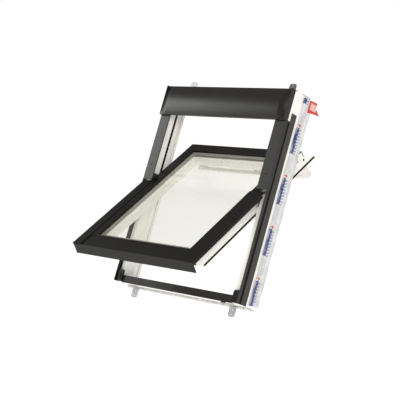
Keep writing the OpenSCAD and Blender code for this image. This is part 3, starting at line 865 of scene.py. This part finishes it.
# %% Brackets
def bracket(node):
    piece = eased(node, 0)
    back = ON_ROOF.inverted()
    low, high = measured(node, ON_ROOF)
    tip = high.y if abs(high.y) > abs(low.y) else low.y

    def short_edge(p, q):
        p, q = back @ p, back @ q
        at_the_tip = abs(p.y - tip) < mm(0.1) and abs(q.y - tip) < mm(0.1)
        return at_the_tip and abs(p.x - q.x) < mm(0.1) and (p - q).length < mm(3)

    choose(piece, "edges", short_edge)
    bpy.ops.mesh.bevel(offset=mm(11), segments=5, affect="EDGES")
    soften(piece, mm(0.35))
    return polish(piece)


for corner in ("top_left", "top_right", "bottom_left", "bottom_right"):
    # The top right bracket gets the darker zinc, and the other three get the pale one.
    finish = grey_zinc if corner == "top_right" else pale_zinc
    install(bracket(f"bracket_{corner}"), None, finish, f"bracket_{corner}")

# %% [markdown]
# ## Screws
# One screw head is modelled and then copied. It is a low cylinder whose rim is bevelled into a dome, with a
# cross recess cut by two crossed blocks. Each copy gets a mesh of its own, so that it can be moved in the
# mesh and its object can stay at the origin.

# %% Screw heads
def screw_head(radius, height):
    """A domed head with a cross recess, standing on the bench at the origin."""
    lay_down()
    bpy.ops.mesh.primitive_cylinder_add(vertices=32, radius=radius, depth=height, location=(0, 0, height / 2))
    head = bpy.context.object
    settle(head)
    choose(head, "edges", lambda p, q: min(p.z, q.z) > 0.9 * height)
    bpy.ops.mesh.bevel(offset=height * 0.55, segments=4, affect="EDGES")
    arm, width, deep = radius * 0.55, radius * 0.14, height * 0.5
    for across in ((arm, width), (width, arm)):
        cutter = block("cutter", (-across[0], -across[1], height - deep), (*across, height + deep))
        modify(head, "BOOLEAN", operation="DIFFERENCE", object=cutter, solver="EXACT")
        bpy.data.objects.remove(cutter)
    return polish(head)


def repeat(master, name, places, finish, *stands_for, body=None, slot=None):
    """Copies a master, each copy with its own mesh, puts the copies in their places and drops the master."""
    copies = []
    for number, place in enumerate(places, 1):
        piece = bpy.data.objects.new(f"{name}_{number}", master.data.copy())
        bpy.context.scene.collection.objects.link(piece)
        copies.append(install(piece, place, finish, *stands_for, body=body, slot=slot))
    bpy.data.objects.remove(master)
    return copies


COVER_SCREW = mm(4)
cover_low, cover_high = measured("cover_screws", ON_ROOF)
screw_x, screw_y, sill_y = cover_high.x - COVER_SCREW, cover_high.y - COVER_SCREW, cover_low.y + COVER_SCREW
spots = [(-screw_x, screw_y, 0), (screw_x, screw_y, 0), (0, sill_y, LEDGE)]
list(repeat(screw_head(COVER_SCREW, mm(1.6)), "cover_screw",
             [ON_ROOF @ Matrix.Translation(spot) for spot in spots], black_plastic, "cover_screws"))
drip_spot = ON_SASH @ Matrix.Translation((0, mm(-485.5), FOOT_FACE))
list(repeat(screw_head(COVER_SCREW, mm(1.2)), "drip_screw", [drip_spot], black_plastic,
             body="sash", slot="black_plastic"))

# %% Bracket screws
BRACKET_X, PAIR_X, HEAD_HEIGHT = mm(310), mm(11), mm(2.2)
heads = []
fix_low, fix_high = measured("bracket_screws", ON_ROOF)
middle = (fix_low.z + fix_high.z) / 2
for end in (-1, 1):
    face = (fix_high.y if end > 0 else -fix_low.y) - HEAD_HEIGHT
    for x in (-BRACKET_X, BRACKET_X):
        for dx in (-PAIR_X, PAIR_X):
            heads.append(ON_ROOF @ Matrix.Translation((x + dx, end * face, middle))
                         @ Matrix.Rotation(-end * pi / 2, 4, "X"))
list(repeat(screw_head(mm(4.5), HEAD_HEIGHT), "bracket_screw", heads, zinc, "bracket_screws"))

# %% [markdown]
# ## The insulating collar
# Round the inside half of the frame runs a collar of foam in printed film. It is the one soft-looking part:
# a long bar with rounded edges whose film is creased and a little slack. A block is added at its size,
# bevelled and divided along its length, and its outer skin is moved in and out by a smooth noise of a
# millimetre or two, while the skin against the timber stays flat. Only the top length has its print running
# across the window.

# %% Collar
SLACK = mm(1.1)


def slack(piece, keep_flat):
    """Moves the outer skin of a piece in and out with a smooth noise."""
    for corner in piece.data.vertices:
        if not keep_flat(corner.co):
            place = corner.co * 22
            wave = noise.noise(place) + 0.5 * noise.noise(place * 2.7)
            corner.co += corner.normal * (wave - 0.55) * SLACK


def wrapped_bar(name, low, high, keep_flat, axis):
    """A wrapped length of foam between two corners, whose long axis is 0 for X or 1 for Y."""
    bar = block(name, low, high)
    choose(bar, "edges", lambda p, q: abs((p - q)[axis]) > mm(200))
    bpy.ops.mesh.bevel(offset=mm(2.5), segments=4, affect="EDGES")
    lay_down()
    length = high[axis] - low[axis]
    cuts = int(length / mm(12))
    cut(bar, "XY"[axis], *(low[axis] + n * length / cuts for n in range(1, cuts)))
    cut(bar, "Z", *(low.z + n * (high.z - low.z) / 5 for n in range(1, 5)))
    slack(bar, keep_flat)
    modify(bar, "SUBSURF", levels=1, render_levels=1)
    return polish(bar, 60)


def collar_length(side, axis, sign, timber):
    """The length that lies beyond the timber's outer face, on the side of the window given by the sign."""
    low, high = measured(f"collar_{side}", ON_ROOF)
    if sign > 0:
        low[axis] = timber
    else:
        high[axis] = -timber
    return wrapped_bar(f"film_collar_{side}", low, high, lambda c: abs(c[axis]) < timber + mm(1), 1 - axis)


JAMB_FACE, HEAD_FACE = mm(387), mm(490)
for side, axis, sign, timber in (("left", 0, -1, JAMB_FACE), ("right", 0, 1, JAMB_FACE),
                                 ("top", 1, 1, HEAD_FACE), ("bottom", 1, -1, HEAD_FACE)):
    printed = end_film if side == "top" else film
    install(collar_length(side, axis, sign, timber), ON_ROOF, printed, f"collar_{side}")

# %% [markdown]
# ## The label
# A torn card label hangs at the collar and curls away from it. Its outline is right as it stands, so the
# flat card is cut into small squares, and their corners are moved along a smooth wave that grows towards the
# free end.

# %% Label
CURL, RIPPLE, SQUARE = mm(4), mm(1.4), mm(4)


def curled_label():
    label = eased("label_tag", 0, name="curled_label")
    label.data.transform(ON_ROOF.inverted())
    low, high = LABEL
    for axis, letter in ((1, "Y"), (2, "Z")):
        cuts = round((high[axis] - low[axis]) / SQUARE)
        cut(label, letter, *(low[axis] + (high[axis] - low[axis]) * n / cuts for n in range(1, cuts)))
    for corner in label.data.vertices:
        down = (high.z - corner.co.z) / (high.z - low.z)
        corner.co.x += CURL * down ** 2 + RIPPLE * sin(corner.co.y * 95) * down
    return polish(label, 50)


install(curled_label(), ON_ROOF, card, "label_tag")

# %% [markdown]
# ## Plugs in the sash
# Both ends of the top rail have a drilled hole, closed with a black plug. The end of a short cylinder is
# inset and pushed in, which leaves the dished face of a real plug.

# %% Plugs
def plug(radius):
    lay_down()
    bpy.ops.mesh.primitive_cylinder_add(vertices=28, radius=radius, depth=mm(2))
    cap = settle(bpy.context.object)
    choose(cap, "polygons", lambda c, n: n.z > 0.9)
    bpy.ops.mesh.inset(thickness=radius * 0.25)
    bpy.ops.transform.translate(value=(0, 0, mm(-0.8)))
    lay_down()
    soften(cap, mm(0.2))
    return polish(cap)


PLUG_UP, PLUG_DEEP = mm(324), mm(-50)
rail_end = measured("sash_top_rail", ON_SASH)[1].x + mm(0.2)
ends = [ON_SASH @ Matrix.Translation((sign * rail_end, PLUG_UP, PLUG_DEEP))
        @ Matrix.Rotation(sign * pi / 2, 4, "Y") for sign in (-1, 1)]
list(repeat(plug(mm(5.5)), "sash_plug", ends, black_plastic, body="sash", slot="black_plastic"))

# %% [markdown]
# ## Parts that stay as they are
# The panes and the spacer between them are plain boxes and rings in reality too. They keep their own
# meshes and only get a finish. Every other part gets one as well, even where a new piece hides it.

# %% Finishes for the parts that stay
by_slot = {"white_timber": timber_up, "dark_cover": roof_cover, "grey_cladding": cladding_grey,
           "black_rubber": frame_rubber, "black_plastic": black_plastic, "zinc_steel": zinc,
           "clear_glass": glass, "spacer_metal": spacer, "collar_film": film, "red_label": card,
           "white_bar": white_plastic}
for name, part in nodes.items():
    part.material_slots[0].material = by_slot[SLOT_OF[name]]
print("still shown as they are:", [n for n, part in nodes.items() if not part.hide_render])

# %% [markdown]
# ## Floor and light
# The window hangs as if fixed in a roof, with a plain pale floor well below it. A large soft box at the
# front right lights the white faces. A smaller one at the front left is what the hood and the covers mirror
# as a soft band, and a third lights the tops from above. The camera sees a white sky, but the sky's own
# light is dim, so dark covers stay dark.

# %% Floor and lights
lay_down()
bpy.ops.mesh.primitive_circle_add(vertices=96, radius=60, fill_type="NGON", location=(0, 0, -1.6))
floor = settle(bpy.context.object)
floor.name = "floor"
pale = Paint("pale floor", Roughness=0.9, Base_Color=(0.9, 0.9, 0.9, 1),
             Emission_Color=(1, 0.995, 0.98, 1), Emission_Strength=0.78)
floor.data.materials.append(pale.done())


def soft_box(name, place, aim, size, power, tint=(1, 1, 1)):
    data = bpy.data.lights.new(name, "AREA")
    data.shape, data.size, data.size_y = "RECTANGLE", size[0], size[1]
    data.energy, data.color = power, tint
    lamp = bpy.data.objects.new(name, data)
    lamp.location = place
    lamp.rotation_euler = (Vector(aim) - Vector(place)).to_track_quat("-Z", "Y").to_euler()
    bpy.context.scene.collection.objects.link(lamp)


WARM = (1.0, 0.985, 0.96)
soft_box("key box", (4.2, -3.2, 2.6), (0, 0, 0), (2.6, 2.6), 170, WARM)
soft_box("band box", (-2.5, -1.3, 1.3), (0, 0, 0.1), (1.3, 1.4), 29)
soft_box("top box", (1.2, 1.2, 3.8), (0, 0, 0), (2.5, 2.5), 40)

# %% Sky
sky = bpy.data.worlds.new("sky")
bpy.context.scene.world = sky
sky.use_nodes = True
tree = sky.node_tree
lit, shown = tree.nodes["Background"], tree.nodes.new("ShaderNodeBackground")
lit.inputs["Color"].default_value = (*WARM, 1)
lit.inputs["Strength"].default_value = 0.28
shown.inputs["Color"].default_value = (1, 1, 1, 1)
both = tree.nodes.new("ShaderNodeMixShader")
rays = tree.nodes.new("ShaderNodeLightPath")
tree.links.new(rays.outputs["Is Camera Ray"], both.inputs[0])
tree.links.new(lit.outputs[0], both.inputs[1])
tree.links.new(shown.outputs[0], both.inputs[2])
tree.links.new(both.outputs[0], tree.nodes["World Output"].inputs["Surface"])
bpy.context.scene.view_settings.view_transform = "Standard"
print(len(made), "pieces,", sum(len(p.data.polygons) for p in made), "faces")

# %% Update the view layer
bpy.context.view_layer.update()
